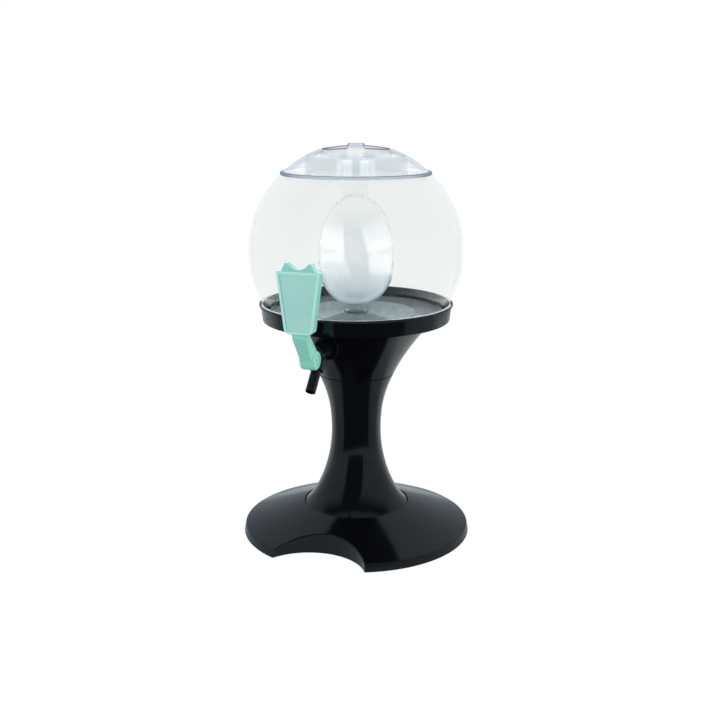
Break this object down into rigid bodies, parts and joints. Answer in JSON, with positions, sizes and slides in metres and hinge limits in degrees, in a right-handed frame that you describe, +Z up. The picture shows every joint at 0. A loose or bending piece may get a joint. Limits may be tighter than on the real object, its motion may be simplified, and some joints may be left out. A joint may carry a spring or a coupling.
{
  "type": "cold drink dispenser",
  "caption": "Clear ball-shaped drink tank with a lift-out ice core and domed lid, on a waisted stand with a lever tap over a notch for a glass.",
  "frame": {"origin": "on the axis of the stand at the level its rubber feet stand on", "axes": "+Z up the axis of the stand, -Y from the axis towards the tap, +X to the right of someone who stands in front of the tap"},
  "size_m": [0.2368, 0.2583, 0.4014],
  "materials": {
    "black_plastic": "gloss black",
    "dark_plastic": "satin dark grey",
    "black_rubber": "matte",
    "grey_rubber": "matte translucent grey",
    "pale_rubber": "matte pale grey green",
    "steel": "plain steel",
    "clear_plastic": "clear, moulded",
    "clear_lid": "clear, moulded",
    "milky_plastic": "milky, translucent",
    "mint_plastic": "soft gloss mint",
    "mint_panel": "satin mint"
  },
  "bodies": {
    "stand": {"base_shell": "black_plastic", "base_plate": "black_plastic", "rubber_feet": "black_rubber", "base_screws": "steel", "column": "black_plastic", "column_screws": "steel", "funnel": "black_plastic", "collar": "black_plastic", "collar_screws": "steel", "seat_pad": "pale_rubber", "globe": "clear_plastic", "globe_seal": "grey_rubber", "outlet_chamber": "dark_plastic", "chamber_screws": "steel", "tap_body": "black_plastic", "shank_seal": "grey_rubber", "tap_gasket": "black_rubber", "tap_washer": "steel", "tap_nut": "dark_plastic", "spout": "black_plastic", "tap_bonnet": "black_plastic", "stem_seal": "grey_rubber"},
    "lid": {"lid_ring": "clear_lid", "lid_seal": "grey_rubber"},
    "core": {"grip_cap": "clear_lid", "cap_cup": "clear_lid", "cap_seal": "grey_rubber", "ice_core": "milky_plastic", "core_seal": "grey_rubber"},
    "lever": {"lever": "mint_plastic", "handle_panel": "mint_panel", "pivot_pin": "steel"},
    "valve": {"valve_stem": "dark_plastic", "valve_seal": "grey_rubber"}
  },
  "joints": [
    {"name": "lid_lift", "type": "slide", "parent": "stand", "child": "lid", "axis": [0, 0, 1], "range_m": [0, 0.15]},
    {"name": "core_lift", "type": "slide", "parent": "lid", "child": "core", "axis": [0, 0, 1], "range_m": [0, 0.16]},
    {"name": "lever_pull", "type": "hinge", "parent": "stand", "child": "lever", "pos_m": [0, -0.1216, 0.2106], "axis": [1, 0, 0], "range_deg": [0, 40]},
    {"name": "valve_lift", "type": "slide", "parent": "stand", "child": "valve", "axis": [0, -1, 0], "range_m": [0, 0.0027]}
  ],
  "couplings": [
    {"joint": "valve_lift", "follows": "lever_pull", "m_per_rad": 0.003867}
  ]
}
